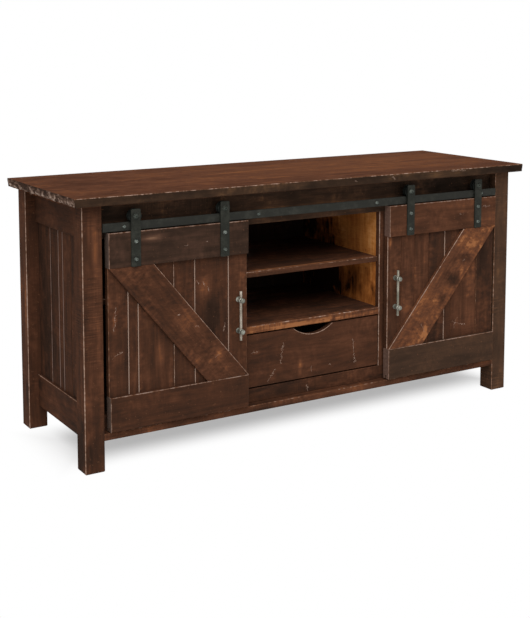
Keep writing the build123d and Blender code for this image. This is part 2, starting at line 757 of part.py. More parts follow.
with BuildPart() as drawer_front:
    with BuildSketch(Plane.XZ.offset(-frame_back)) as outline:
        with Locations((0, drawer_low + drawer_front_height / 2)):
            Rectangle(2 * drawer_front_half, drawer_front_height)
        with Locations((0, drawer_top - scoop_depth + scoop_radius)):
            Circle(scoop_radius, mode=Mode.SUBTRACT)
        shoulders = outline.vertices().filter_by(lambda v: abs(v.X) < scoop_width)
        fillet(shoulders, scoop_shoulder)
    extrude(amount=frame_thick)
    chamfer(drawer_front.faces().sort_by(Axis.Y)[0].edges(), drawer_front_ease)
    # the front of the box, behind the face
    block((-drawer_half, drawer_half), (drawer_box_front, box_front_back), drawer_side_z)
    block((-ply_half - fit_gap, ply_half + fit_gap), (box_front_back - drawer_dado, box_front_back),
          grown(ply_z, fit_gap / 2), Mode.SUBTRACT)
    for side in ("left", "right"):
        tails(side, box_front_back, drawer_box_front, Mode.SUBTRACT)
save(drawer_front, "drawer_front")

for side in ("left", "right"):
    with BuildPart() as drawer_side:
        x = span(side, inner_half, drawer_half)
        block(x, (box_front_back, box_back_front), drawer_side_z)
        block(x, (box_back_front, drawer_box_back), (drawer_side_z[0], ply_z[1]))
        tails(side, box_front_back, drawer_box_front)
        tails(side, box_back_front, drawer_box_back)
        block(span(side, inner_half, ply_half + fit_gap), (box_front_back, drawer_box_back),
              grown(ply_z, fit_gap / 2), Mode.SUBTRACT)
    save(drawer_side, f"drawer_{side}_side")

with BuildPart() as drawer_back:
    block((-drawer_half, drawer_half), (box_back_front, drawer_box_back),
          (ply_z[1], drawer_side_z[1]))
    for side in ("left", "right"):
        tails(side, box_back_front, drawer_box_back, Mode.SUBTRACT)
save(drawer_back, "drawer_back")

with BuildPart() as drawer_bottom:
    block((-ply_half, ply_half), (box_front_back - drawer_dado + fit_gap, drawer_box_back), ply_z)
save(drawer_bottom, "drawer_bottom")

# ---- drawer slides: three nested channels on each side, from the partition inwards ----
slide_start = frame_back + slide_front_gap
nest = slide_sheet + slide_gap
middle_near = slide_sheet + slide_web_gap
inner_near = middle_near + slide_sheet + slide_web_gap
channels = {
    "outer": (0.0, slide_outer_width, slide_height, 1),
    "middle": (middle_near, slide_space - nest, slide_height - 2 * nest, 1),
    "inner": (inner_near, slide_space, slide_height - 4 * nest, -1),
}
for member, (near, far, tall, opens) in channels.items():
    with BuildPart() as channel:
        with BuildSketch(Plane.XZ.offset(-slide_start)):
            for turn in (-1, 1):
                x = turn * (half_opening - (near + far) / 2)
                with Locations((x, slide_z)):
                    Rectangle(far - near, tall)
                with Locations((x - turn * opens * slide_sheet, slide_z)):
                    Rectangle(far - near, tall - 2 * slide_sheet, mode=Mode.SUBTRACT)
        extrude(amount=-slide_length)
    save(channel, f"drawer_slide_{member}s")
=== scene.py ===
import math

import bmesh
import bpy
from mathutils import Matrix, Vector


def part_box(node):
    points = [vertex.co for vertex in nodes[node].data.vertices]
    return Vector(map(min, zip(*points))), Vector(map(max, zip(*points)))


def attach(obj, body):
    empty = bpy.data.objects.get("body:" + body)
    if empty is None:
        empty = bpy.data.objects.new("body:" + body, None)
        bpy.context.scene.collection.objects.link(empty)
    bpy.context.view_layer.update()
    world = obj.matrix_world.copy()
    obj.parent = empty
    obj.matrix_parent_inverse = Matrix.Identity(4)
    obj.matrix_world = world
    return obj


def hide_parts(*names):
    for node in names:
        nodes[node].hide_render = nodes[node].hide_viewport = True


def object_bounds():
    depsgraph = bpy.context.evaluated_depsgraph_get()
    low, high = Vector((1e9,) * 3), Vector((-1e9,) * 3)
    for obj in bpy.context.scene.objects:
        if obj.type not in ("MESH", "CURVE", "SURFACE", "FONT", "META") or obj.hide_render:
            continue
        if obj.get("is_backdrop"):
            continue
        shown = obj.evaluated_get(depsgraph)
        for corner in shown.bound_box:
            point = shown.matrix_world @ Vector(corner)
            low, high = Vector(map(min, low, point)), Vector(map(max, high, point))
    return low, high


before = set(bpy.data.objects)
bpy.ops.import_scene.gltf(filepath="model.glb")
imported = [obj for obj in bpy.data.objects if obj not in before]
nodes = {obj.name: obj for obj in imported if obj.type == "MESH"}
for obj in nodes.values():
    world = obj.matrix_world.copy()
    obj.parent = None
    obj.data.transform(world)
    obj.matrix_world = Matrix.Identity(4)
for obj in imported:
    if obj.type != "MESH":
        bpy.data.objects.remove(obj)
solid_low, solid_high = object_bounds()


# ---- legs ----
# Four square posts of solid pine, mortised for the rails and standing straight
# on the floor. They are stained dark, and their arrises are rubbed back to the
# pale wood by hand, so that the stand looks old.

class Field:
    """A socket of a material, with arithmetic that adds Math nodes."""

    def __init__(self, tree, socket=None):
        self.tree = tree
        self.socket = socket

    def node(self, kind, settings=None, inputs=None, output=0):
        """Adds a node, makes its settings, then fills its sockets with values or links."""
        made = self.tree.nodes.new("ShaderNode" + kind)
        for key, value in (settings or {}).items():
            if key == "stops":
                stops = made.color_ramp.elements
                stops[0].position, stops[0].color = value[0]
                stops[1].position, stops[1].color = value[-1]
                for place, colour in value[1:-1]:
                    stops.new(place).color = colour
            else:
                setattr(made, key, value)
        for key, value in (inputs or {}).items():
            if isinstance(value, Field):
                self.tree.links.new(value.socket, made.inputs[key])
            else:
                made.inputs[key].default_value = value
        return Field(self.tree, made.outputs[output] if made.outputs else None)

    def outputs(self):
        return [Field(self.tree, socket) for socket in self.socket.node.outputs]

    def math(self, operation, *values):
        return self.node("Math", {"operation": operation}, dict(enumerate(values)))

    def __add__(self, other):
        return self.math("ADD", self, other)

    def __sub__(self, other):
        return self.math("SUBTRACT", self, other)

    def __rsub__(self, other):
        return self.math("SUBTRACT", other, self)

    def __mul__(self, other):
        return self.math("MULTIPLY", self, other)

    __radd__ = __add__
    __rmul__ = __mul__

    def most(self, other):
        return self.math("MAXIMUM", self, other)

    def least(self, other):
        return self.math("MINIMUM", self, other)

    def fall(self, start, end, first=1.0, last=0.0, kind="SMOOTHSTEP"):
        """first where the value is at start, turning to last where it is at end."""
        return self.node("MapRange", {"interpolation_type": kind}, {
            "Value": self, "From Min": start, "From Max": end, "To Min": first, "To Max": last})


def shade(red, green, blue):
    """A colour as a screen shows it, 0 to 255, made linear."""
    return tuple(((c / 255 + 0.055) / 1.055) ** 2.4 for c in (red, green, blue)) + (1.0,)


def blend(first, second, share):
    """One colour turning to another by a share that varies over the surface."""
    return share.node("Mix", {"data_type": "RGBA"}, {0: share, 6: first, 7: second}, 2)


def new_material(name):
    """An empty material, the place on the object, its three parts and the way the surface faces."""
    material = bpy.data.materials.new(name)
    material.use_nodes = True
    material.node_tree.nodes.clear()
    place = Field(material.node_tree).node("TexCoord", {}, {}, 3)
    facing = place.outputs()[1]
    parts = place.node("SeparateXYZ", {}, {"Vector": place}).outputs()
    return material, place, parts, facing


def finish_surface(place, colour, roughness, height, depth, **constants):
    """Shader and output, with a bump as deep as height times depth, in metres."""
    normal = place.node("Bump", {}, {"Strength": 1.0, "Distance": depth, "Height": height})
    inputs = {"Base Color": colour, "Roughness": roughness, "Normal": normal, **constants}
    shader = place.node("BsdfPrincipled", {}, inputs)
    place.node("OutputMaterial", {}, {"Surface": shader})


def noise(place, stretch, seed, detail=2.0, roughness=0.5, distortion=0.0):
    """Smooth noise whose patches are one over the stretch long on each axis. The seed moves it."""
    seed_steps = (1.0, 0.37, 0.71)
    moved = place.node("VectorMath", {"operation": "MULTIPLY_ADD"}, {
        0: place, 1: stretch, 2: [seed * step for step in seed_steps]})
    return place.node("TexNoise", {}, {
        "Vector": moved, "Scale": 1.0, "Detail": detail,
        "Roughness": roughness, "Distortion": distortion})


stain = [(0.0, shade(38, 27, 21)), (0.25, shade(52, 36, 28)), (0.5, shade(72, 46, 33)),
         (0.68, shade(88, 56, 40)), (0.84, shade(108, 67, 44)), (1.0, shade(146, 95, 60))]
umber = [(0.0, shade(34, 27, 22)), (0.25, shade(47, 36, 29)), (0.5, shade(62, 46, 36)),
         (0.68, shade(78, 56, 42)), (0.84, shade(102, 72, 50)), (1.0, shade(140, 104, 74))]
rubbed_orange = shade(112, 76, 54)
rubbed_pale = shade(160, 135, 120)
end_grain = [(0.0, shade(58, 46, 40)), (0.5, shade(100, 82, 72)), (1.0, shade(150, 130, 114))]
satin = 0.5              # roughness of the stain's lacquer
middle_tone = 0.47       # a plain board's place in its palette
plank_step = 3.7         # the grain moves this far along from one plank to the next
orange_from = (0.44, 0.68)       # wear at which orange starts to show, and is all that shows
pale_from = (0.62, 0.82)         # the same for the bare wood
scratch_core, scratch_edge = 0.0003, 0.0013
scratch_wander = 0.034   # how far a scratch strays to the sides
scratch_taper = 0.004
pore_depth = 0.0005


def wood(name, node, along, seed, tone=0.0, rub=(1, 1, 1, 1, 0.3, 0.8), palette=stain, contrast=0.6,
         kerf=0.4, spots=(), tracks=(), ends=end_grain, worn=0.0034, ragged=0.5, lines=None,
         pale=rubbed_pale, extra_rub=None, speck=0.5, hidden=None, sheen=0.004, straight=1.0, curl=0.9,
         brushed=0.0, end_grit=2.2):
    """Stained wood for one board, with its grain along an axis or along a slope in radians.

    rub says how bare the arrises are at its low and high x, y and z. spots are patches of darker or
    lighter stain: centre, radii and amount. tracks are scratches in its front, from one x and z to
    another. lines are the joints between a panel's planks, and hidden is the finish of its back.
    """
    material, place, (x, y, z), facing = new_material(name)
    low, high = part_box(node)
    parts = {"x": x, "y": y, "z": z}
    if along in parts:
        length = parts[along]
        across, through = [parts[k] for k in "xzy" if k != along]
        end = facing.node("SeparateXYZ", {}, {"Vector": facing}).outputs()["xyz".index(along)]
        end = end.math("ABSOLUTE", end).fall(0.6, 0.8, 0.0, 1.0)
    else:
        length = x * math.cos(along) + z * math.sin(along)
        across = z * math.cos(along) - x * math.sin(along)
        through = y
        end = None

    # the joints between planks, each with its own tone
    shift = 0.0
    board_tone = tone
    joint_line = None
    if lines:
        coordinate, joints, tones, (depth_axis, shallow, deep), groove, rubs = lines
        board = parts[coordinate]
        board_tone = tone + tones[0]
        index = None
        for joint, before, after, amount in zip(joints, tones, tones[1:], rubs):
            passed = board.math("GREATER_THAN", board, joint)
            board_tone = passed * (after - before) + board_tone
            index = passed if index is None else index + passed
            bare = board.math("ABSOLUTE", board - joint - groove / 2)
            bare = bare.fall(groove * 0.25, groove * 0.6, amount, 0.0)
            joint_line = bare if joint_line is None else joint_line.most(bare)
        shift = index * plank_step
        joint_line = joint_line * parts[depth_axis].fall(shallow, deep, 1.0, 0.0)

    # the grain: streaks, figure, fibres, mottle, flecks and saw marks
    grain = place.node("CombineXYZ", {}, {0: length + shift, 1: across, 2: through})
    streaks = noise(grain, (2.6, 46, 46), seed, 4.0, 0.62, 0.4)
    figure = noise(grain, (1.3, 11, 11), seed + 5, 1.0, 0.5, 0.2)
    figure = figure.math("PINGPONG", figure * 9.0, 0.5) * 2.0
    fibre = noise(grain, (22, 520, 520), seed + 9, 2.0, 0.6)
    mottle = noise(grain, (7, 10, 10), seed + 13, 4.0, 0.6)
    fleck = noise(grain, (75, 42, 42), seed + 15, 1.0)
    saw = noise(grain, (300, 16, 16), seed + 17, 1.0)
    patch = noise(place, (6, 6, 6), seed + 19, 1.0).fall(0.48, 0.62, 0.0, 1.0)
    saw = (saw - 0.5) * patch * kerf
    cloud = noise(grain, (9, 20, 20), seed + 37, 3.0, 0.55, 1.4)
    level = (streaks - 0.5) * (1.15 * contrast * straight) + (mottle - 0.5) * (1.5 * contrast)
    level = level + board_tone
    level = level + (cloud - 0.5) * contrast
    level = level + (figure - 0.5) * (0.2 * contrast) + (fibre - 0.5) * (0.6 * contrast)
    level = level + saw + middle_tone
    level = level + (fleck - 0.5) * (mottle.fall(0.42, 0.62, 0.0, curl) * contrast)
    if brushed:
        brush = noise(place, (30, 30, 92), seed + 47, 4.0, 0.62, 0.9)
        level = level + (brush - 0.5) * brushed
    for centre, radii, amount in spots:
        away = place.node("VectorMath", {"operation": "SUBTRACT"}, {0: place, 1: centre})
        away = away.node("VectorMath", {"operation": "DIVIDE"}, {0: away, 1: radii})
        away = away.node("VectorMath", {"operation": "LENGTH"}, {0: away}, 1)
        reach = (away + (mottle - 0.5) * 1.3 + (cloud - 0.5) * 1.1).fall(0.05, 1.1, amount, 0.0)
        level = level + reach * (streaks * 2.4 - 0.2)
    colour = level.node("ValToRGB", {"stops": palette}, {"Fac": level})
    if hidden:
        behind, other = hidden
        back = level.node("ValToRGB", {"stops": other}, {"Fac": level})
        colour = blend(colour, back, y.fall(behind, behind + 0.0005, 0.0, 1.0))
    chip = noise(place, (150, 150, 150), seed + 23, 1.0).fall(0.70, 0.78, 0.0, speck)
    colour = blend(colour, rubbed_orange, chip)

    # wear: an arris is where two of the board's sides are near
    near = []
    for part, lowest, highest, weight_low, weight_high in zip((x, y, z), low, high, rub[0::2], rub[1::2]):
        near.append(part.fall(lowest, lowest + worn * 2, weight_low, 0.0, "LINEAR").most(
            part.fall(highest, highest - worn * 2, weight_high, 0.0, "LINEAR")))
    wear = near[0].least(near[1]).most(near[1].least(near[2])).most(near[2].least(near[0]))
    scuff = noise(place, (70, 70, 70), seed + 29, 3.0, 0.65)
    if joint_line:
        wear = wear.most(joint_line)
    if extra_rub:
        wear = wear.most(extra_rub(parts))
    wear = wear + (scuff - 0.5) * ragged + (mottle - 0.5) * 0.3
    for (start_x, start_z), (end_x, end_z), strength in tracks:
        run = math.hypot(end_x - start_x, end_z - start_z)
        lean_x, lean_z = (end_x - start_x) / run, (end_z - start_z) / run
        wander = noise(place, (74, 1, 74), seed + 41 + 90 * start_x, 4.0, 0.72)
        along_track = (x - start_x) * lean_x + (z - start_z) * lean_z
        beside = (x - start_x) * -lean_z + (z - start_z) * lean_x + (wander - 0.5) * scratch_wander
        line = beside.math("ABSOLUTE", beside).fall(scratch_core, scratch_edge, strength, 0.0)
        line = line.least(along_track.fall(0.0, scratch_taper, 0.0, 1.0))
        line = line.least(along_track.fall(run - scratch_taper, run, 1.0, 0.0))
        wear = wear.most(line - (scuff - 0.45) * 0.9)
    colour = blend(colour, rubbed_orange, wear.fall(*orange_from, 0.0, 0.65))
    colour = blend(colour, pale, wear.fall(*pale_from, 0.0, 1.0))
    if end is not None:
        butt = noise(place, (90, 90, 240), seed + 31, 2.0, 0.6)
        butt = butt.node("ValToRGB", {"stops": ends}, {"Fac": (butt - 0.5) * end_grit + 0.5})
        colour = blend(colour, butt, end * 0.8)
    rough = wear.fall(0.5, 0.8, satin, satin + 0.2) + (streaks - 0.5) * 0.12
    height = fibre * 0.35 + saw * 1.6 + scuff * 0.25 + wear.fall(0.6, 0.9, 0.0, -0.5)
    finish_surface(place, colour, rough, height, pore_depth, **{"Specular IOR Level": sheen})
    return material


def dress(node, material):
    nodes[node].data.materials[0] = material


legs = {
    "front_left_leg": dict(tone=0.03, rub=(0.95, 0.6, 0.95, 0.5, 0.5, 0.3), spots=[
        ((-0.793, -0.255, 0.70), (0.014, 0.03, 0.12), 0.26),
        ((-0.812, -0.255, 0.74), (0.006, 0.03, 0.07), 0.2),
        ((-0.79, -0.255, 0.45), (0.02, 0.03, 0.3), 0.14),
        ((-0.80, -0.255, 0.08), (0.05, 0.05, 0.12), -0.12),
        ((-0.833, -0.22, 0.08), (0.03, 0.05, 0.14), -0.2)]),
    "front_right_leg": dict(
        tone=0.14, rub=(0.82, 0.82, 0.82, 0.5, 0.5, 0.3), palette=umber, contrast=0.3),
    "rear_left_leg": dict(tone=0.05, rub=(0.95, 0.8, 0.95, 0.8, 0.5, 0.3), spots=[
        ((-0.833, 0.238, 0.42), (0.02, 0.016, 0.17), 0.3),
        ((-0.833, 0.235, 0.14), (0.02, 0.02, 0.05), -0.25)]),
    "rear_right_leg": dict(rub=(0.85, 0.85, 0.85, 0.85, 0.5, 0.3)),
}
for number, (leg, finish) in enumerate(legs.items()):
    dress(leg, wood("stain_" + leg, leg, "z", 3.1 + 7 * number, kerf=0.6, **{"contrast": 0.42, **finish}))


# ---- sides ----
# Each side is two heavy rails tenoned into the legs, with V-jointed planks
# in their grooves between them. The planks stand back from the rails' faces.

side_joints = [-0.192 + reach for reach in (0.067, 0.137, 0.204, 0.240, 0.309)]
# the sides' planks and rails run darker than the front: partly their own tone, partly painted shade where
# less light falls on the sides
side_tones_and_shade = (-0.06, -0.14, -0.05, -0.04, -0.12, -0.14)
side_joint_rubs = (0.25, 0.3, 0.85, 0.85, 0.78)
joint_width = 0.0026
groove_rim, groove_floor = 0.003, 0.005      # depths between which a joint's rubbed arris ends
for side, mirror in (("left", 1), ("right", -1)):
    outward = (0.9, 0.0) if mirror == 1 else (0.0, 0.9)
    rail = f"{side}_side_top_rail"
    dress(rail, wood("stain_" + rail, rail, "y", 31.0 + mirror, tone=-0.05, rub=(*outward, 0, 0, 0.35, 0),
                     contrast=0.45, kerf=0.2))
    rail = f"{side}_side_bottom_rail"
    dress(rail, wood("stain_" + rail, rail, "y", 41.0 + mirror, tone=-0.03,
                     rub=(*outward, 0, 0, 0.3, 0.75), contrast=0.45, kerf=0.2,
                     spots=[((-0.8, 0.208, 0.15), (0.05, 0.026, 0.032), -0.4)]))
    planks = f"{side}_side_planks"
    low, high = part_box(planks)
    face = low.x if mirror == 1 else high.x
    groove = ("x", face + mirror * groove_rim, face + mirror * groove_floor)
    dress(planks, wood(
        "stain_" + planks, planks, "z", 51.0 + mirror, rub=(0, 0, 0, 0, 0, 0), contrast=0.45,
        lines=("y", side_joints, side_tones_and_shade, groove, joint_width, side_joint_rubs),
        pale=shade(128, 107, 98),
        spots=[((face, -0.09, 0.40), (0.03, 0.07, 0.10), 0.18),
               ((face, 0.14, 0.30), (0.03, 0.1, 0.12), -0.1)]))


# ---- front frame ----
# The apron, two stiles and the bottom rail are boards behind the doors, and
# the ledge below them stands out to the legs' faces. The doors' track is
# bolted through the apron.

apron_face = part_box("apron")[0].y
dress("apron", wood(
    "stain_apron", "apron", "x", 61.0, tone=0.05, rub=(0, 0, 0.4, 0, 0.4, 0), palette=umber,
    # the darker spots beside the rollers and straps are painted shadow; the middle is a little lighter
    spots=[((0.05, apron_face, 0.76), (0.26, 0.03, 0.03), 0.12),
           ((-0.80, apron_face, 0.76), (0.12, 0.03, 0.08), -0.3),
           ((-0.36, apron_face, 0.77), (0.05, 0.03, 0.08), -0.25),
           ((0.78, apron_face, 0.76), (0.1, 0.03, 0.08), -0.3),
           ((0.54, apron_face, 0.77), (0.2, 0.03, 0.08), -0.32)]))
dress("front_bottom_rail", wood(
    "stain_front_bottom_rail", "front_bottom_rail", "x", 67.0, tone=-0.05, rub=(0, 0, 0.6, 0, 0, 0.6),
    tracks=[((-0.025, 0.145), (-0.02, 0.115), 0.9)]))
dress("door_ledge", wood(
    "stain_door_ledge", "door_ledge", "x", 71.0, rub=(0, 0, 0.7, 0, 0.3, 0.7), ragged=0.8,
    spots=[((-0.62, -0.25, 0.10), (0.06, 0.03, 0.03), 0.2), ((0.1, -0.25, 0.11), (0.3, 0.08, 0.02), 0.16),
           ((0.73, -0.25, 0.11), (0.06, 0.06, 0.02), 0.3)]))
for side in ("left", "right"):
    stile = f"{side}_face_stile"
    dress(stile, wood(f"stain_{side}_stile", stile, "z", 77.0 + len(side), tone=0.1, contrast=0.4,
                      rub=(0.92, 0.92, 0.92, 0, 0, 0), ragged=0.7))


# ---- top ----
# Boards of solid pine glued edge to edge, planed smooth and stained, with a
# front arris rubbed pale. Its ends are hewn and show the end grain.

def pick(piece, test, kind="VERT"):
    """Selects only the points, edges or faces of the piece in edit mode that pass.

    A point is tested by its place, an edge by both its ends, and a face by its middle and normal.
    """
    bpy.ops.mesh.select_mode(type=kind)
    bpy.ops.mesh.select_all(action="DESELECT")
    shape = bmesh.from_edit_mesh(piece.data)
    if kind == "FACE":
        for face in shape.faces:
            face.select_set(test(face.calc_center_median(), face.normal))
    elif kind == "EDGE":
        for edge in shape.edges:
            edge.select_set(all(test(point.co) for point in edge.verts))
    else:
        for point in shape.verts:
            point.select_set(test(point.co))
    shape.select_flush_mode()
    bmesh.update_edit_mesh(piece.data)


def cut(places, direction):
    """Cuts the whole piece in edit mode by planes across one direction, each through a place."""
    for place in places:
        bpy.ops.mesh.select_all(action="SELECT")
        bpy.ops.mesh.bisect(plane_co=place, plane_no=direction)


hair = 1e-5              # nearer than this counts as the same place
chip_insets = (0.004, 0.010, 0.022)      # cuts from each end
chip_start, chip_width, chip_count = -0.27, 0.018, 31    # cuts from front to rear
chip_rises = (0.006, 0.013, 0.020)       # cuts above the lower face
# height over the lower face, and how far the end is drawn in there
drawn_in = ((0.0, 0.0075), (0.006, 0.0045), (0.013, 0.0025), (0.020, 0.0014), (0.027, 0.0012))
row_half = 0.0021        # a row of points is picked this far to either side
rough_line = 0.0165      # the ends are rougher below this height over the lower face
smooth_rim = 0.001       # left alone below the upper face
face_margin = 0.0025     # left alone beside the front and rear faces
long_arris_round = 0.0018
end_facet = math.radians(20)      # facets that meet at less are shaded smooth
top_low, top_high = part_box("top")
top_half = top_high.x
bpy.ops.object.select_all(action="DESELECT")
bpy.ops.mesh.primitive_cube_add(size=1.0, location=(top_low + top_high) / 2, scale=top_high - top_low)
top_board = bpy.context.object
top_board.name = "top_board"
bpy.ops.object.transform_apply(location=True, rotation=False, scale=True)
bpy.ops.object.mode_set(mode="EDIT")
cut([(side * (top_half - inset), 0, 0) for inset in chip_insets for side in (-1, 1)], (1, 0, 0))
cut([(0, chip_start + chip_width * number, 0) for number in range(chip_count)], (0, 1, 0))
cut([(0, 0, top_low.z + rise) for rise in chip_rises], (0, 0, 1))
pick(top_board, lambda co: abs(co.y) > top_high.y - hair
     and (co.z > top_high.z - hair or co.z < top_low.z + hair), "EDGE")
bpy.ops.mesh.bevel(offset=long_arris_round, segments=2)
for rise, inwards in drawn_in:
    level = top_low.z + rise
    pick(top_board, lambda co: abs(co.x) > top_half - hair and abs(co.z - level) < row_half)
    bpy.ops.transform.resize(value=(1 - inwards / top_half, 1, 1), center_override=(0, 0, 0))
inside_faces = top_high.y - face_margin
for reach, lowest, highest, roughly, seed in (
        (0.0105, top_low.z - hair, top_low.z + rough_line, 0.0018, 5),
        (0.0062, top_low.z + rough_line, top_high.z - smooth_rim, 0.0006, 8)):
    pick(top_board, lambda co: abs(co.x) > top_half - reach and lowest < co.z < highest
         and abs(co.y) < inside_faces)
    bpy.ops.transform.vertex_random(offset=roughly, seed=seed)

top_colours = [(0.0, shade(54, 33, 22)), (0.3, shade(78, 48, 34)), (0.5, shade(96, 60, 42)),
               (0.75, shade(117, 73, 46)), (1.0, shade(158, 104, 60))]
edge_colours = [(0.0, shade(34, 26, 21)), (0.3, shade(48, 36, 28)), (0.55, shade(64, 47, 35)),
                (0.8, shade(92, 66, 45)), (1.0, shade(128, 92, 60))]
chip_colours = [(0.0, shade(44, 32, 26)), (0.3, shade(66, 48, 38)), (0.55, shade(100, 78, 66)),
                (0.78, shade(146, 124, 110)), (1.0, shade(174, 156, 142))]
board_joints = [-0.17, -0.05, 0.06, 0.16, 0.235]
board_tones = (-0.03, 0.05, 0.0, 0.06, 0.0, 0.03)
no_groove = ("z", 0.9, 0.91)
top_rub = (0.5, 0.5, 0.72, 0.72, 0.4, 0.96)
front, surface = top_low.y, top_high.z
top_face = wood(
    "stain_top_face", "top", "x", 83.0, rub=top_rub, palette=top_colours, contrast=0.4, kerf=0.0,
    worn=0.0026, speck=0.1, sheen=0.0003, ends=top_colours, pale=shade(138, 108, 94),
    lines=("y", board_joints, board_tones, no_groove, 0.001, (0, 0, 0, 0, 0)),
    spots=[((-0.15, 0.03, surface), (0.16, 0.014, 0.02), 0.42),
           ((-0.03, 0.045, surface), (0.2, 0.01, 0.02), 0.38),
           ((-0.58, 0.03, surface), (0.06, 0.012, 0.02), 0.22),
           ((-0.38, -0.18, surface), (0.05, 0.03, 0.02), 0.24),
           ((-0.70, 0.05, surface), (0.26, 0.26, 0.03), -0.12),
           ((0.40, 0.02, surface), (0.6, 0.26, 0.03), 0.12)])
top_edge = wood(
    "stain_top_edge", "top", "x", 85.0, rub=top_rub, palette=edge_colours, contrast=0.5, kerf=0.0,
    worn=0.003, ragged=1.1, tone=-0.04, speck=0.2, ends=edge_colours,
    spots=[((0.27, front, 0.825), (0.05, 0.02, 0.02), 0.2),
           ((0.34, front, 0.83), (0.04, 0.02, 0.015), 0.28),
           ((0.46, front, 0.825), (0.07, 0.02, 0.02), 0.32),
           ((0.55, front, 0.83), (0.05, 0.02, 0.02), 0.18),
           ((-0.1, front, 0.82), (0.04, 0.02, 0.02), 0.14),
           ((0.8, front, 0.82), (0.1, 0.03, 0.03), -0.2)],
    tracks=[((0.118, 0.829), (0.132, 0.823), 0.95), ((0.27, 0.832), (0.29, 0.818), 0.85),
            ((0.53, 0.834), (0.6, 0.831), 0.9)])
hewn, place, (_, y, z), _ = new_material("hewn_top_end")
chips = noise(place, (20, 38, 70), 89.0, 2.0, 0.6, 0.5)
rings = noise(place, (90, 170, 320), 91.0, 2.0)
level = (chips - 0.5) * 2.3 + (rings - 0.5) * 0.9 + z.fall(top_low.z, top_high.z, 0.66, 0.22, "LINEAR")
level = level + y.fall(front, 0.15, 0.10, -0.08, "LINEAR")
colour = level.node("ValToRGB", {"stops": chip_colours}, {"Fac": level})
finish_surface(place, colour, 0.8, chips * 0.7 + rings * 0.5, 0.003, **{"Specular IOR Level": 0.02})
for number, (material, test) in enumerate((
        (top_face, lambda co, normal: abs(normal.z) > 0.8),
        (top_edge, lambda co, normal: abs(normal.y) > 0.5),
        (hewn, lambda co, normal: abs(normal.x) > 0.45))):
    top_board.data.materials.append(material)
    top_board.active_material_index = number
    pick(top_board, test, "FACE")
    bpy.ops.object.material_slot_assign()
bpy.ops.object.mode_set(mode="OBJECT")
bpy.ops.object.shade_smooth_by_angle(angle=end_facet)
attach(top_board, "frame")
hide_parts("top")


# ---- back ----
# Two rails tenoned into the rear legs carry three sheets of thin plywood. Two
# cable holes are drilled through the middle sheet and one through each of the
# others. The cleats are strips screwed inside the frame, and hold the top down.

dark_back = [(0.0, shade(26, 18, 15)), (0.5, shade(44, 31, 25)), (1.0, shade(70, 50, 38))]
for part, seed in (("back_top_rail", 91.0), ("back_bottom_rail", 93.0)):
    dress(part, wood("stain_" + part, part, "x", seed, tone=-0.05, rub=(0.4, 0.4, 0.4, 0.4, 0.4, 0.4)))
dress("back_panels", wood("stain_back_panels", "back_panels", "z", 97.0, palette=dark_back, kerf=0.0,
                          rub=(0, 0, 0, 0, 0, 0), contrast=0.5, speck=0.1))
dress("top_cleats", wood("stain_top_cleats", "top_cleats", "x", 99.0, tone=0.1, rub=(0, 0, 0, 0, 0, 0)))


# ---- inside ----
# Partitions of golden wood stand behind the stiles, darkened towards the back by
# painted shade. A fixed shelf housed between them covers the drawer.

golden = [(0.0, shade(42, 25, 15)), (0.3, shade(134, 77, 36)), (0.55, shade(174, 106, 52)),
          (0.8, shade(198, 128, 66)), (1.0, shade(214, 150, 88))]
for side, mirror in (("left", -1), ("right", 1)):
    partition = f"{side}_partition"
    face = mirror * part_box("right_partition")[0].x
    dress(partition, wood(
        "stain_" + partition, partition, "z", 103.0 + len(side), tone=0.12, palette=golden,
        rub=(0, 0, 0, 0, 0, 0), kerf=0.3, speck=0.0,
        # spots: painted shade darkens the rear, a painted shadow lies across the lower bay, and painted
        # light brightens the front of the upper bay
        spots=[((face, 0.27, 0.56), (0.05, 0.30, 0.90), -0.75),
               ((face, 0.04, 0.44), (0.05, 0.40, 0.09), -0.34),
               ((face, -0.17, 0.62), (0.05, 0.10, 0.12), 0.12)]))
dress("bottom_panel", wood("stain_bottom_panel", "bottom_panel", "x", 113.0, tone=-0.08,
                           rub=(0, 0, 0.4, 0, 0, 0)))
shelf_rub = (0, 0, 0.66, 0, 0.4, 0.86)
dress("fixed_shelf", wood(
    "stain_fixed_shelf", "fixed_shelf", "x", 117.0, rub=shelf_rub, ragged=0.9,
    spots=[((0.03, apron_face, 0.356), (0.7, 0.012, 0.06), 0.38),
           ((0.08, apron_face, 0.35), (0.02, 0.02, 0.02), -0.4)]))


# ---- loose shelves ----
# Three boards that lie on metal pins in rows of drilled holes, one in each
# bay. They lift off and move up or down by a row.

front_rub_spots = {"centre_shelf": [((0.03, -0.203, 0.535), (0.7, 0.012, 0.06), 0.38)]}
for shelf, seed in (("centre_shelf", 121.0), ("left_shelf", 127.0), ("right_shelf", 131.0)):
    dress(shelf, wood("stain_" + shelf, shelf, "x", seed, tone=-0.02, rub=shelf_rub, kerf=0.2, ragged=0.9,
                      spots=front_rub_spots.get(shelf, ())))


def metal(name, base, light, seed, roughness=0.5, metallic=0.6, scratch=0.4, grime=None, sheen=0.3):
    """Metal with a mottled finish, fine scratches and a slight hammered bump."""
    material, place, _, _ = new_material(name)
    cloud = noise(place, (34, 34, 34), seed, 3.0, 0.6)
    tooth = noise(place, (420, 420, 420), seed + 3, 2.0, 0.6)
    lines = noise(place, (60, 700, 700), seed + 7, 1.0)
    level = (cloud - 0.5) * 1.6 + (tooth - 0.5) * 0.8 + (lines - 0.5) * scratch + 0.45
    tones = [(0.0, grime or base), (0.4, base), (1.0, light)]
    colour = level.node("ValToRGB", {"stops": tones}, {"Fac": level})
    rough = (cloud - 0.5) * 0.3 + (tooth - 0.5) * 0.2 + roughness
    finish_surface(place, colour, rough, tooth * 0.5 + cloud * 0.5, 0.0003,
                   **{"Metallic": metallic, "Specular IOR Level": sheen})
    return material


dress("shelf_pins", metal("zinc_pins", shade(150, 150, 148), shade(190, 190, 186), 137.0, 0.35, 0.9))


# ---- track ----
# A flat bar of blackened steel, held off the apron by round spacers with
# bolts through them. The doors' rollers run on its upper edge.

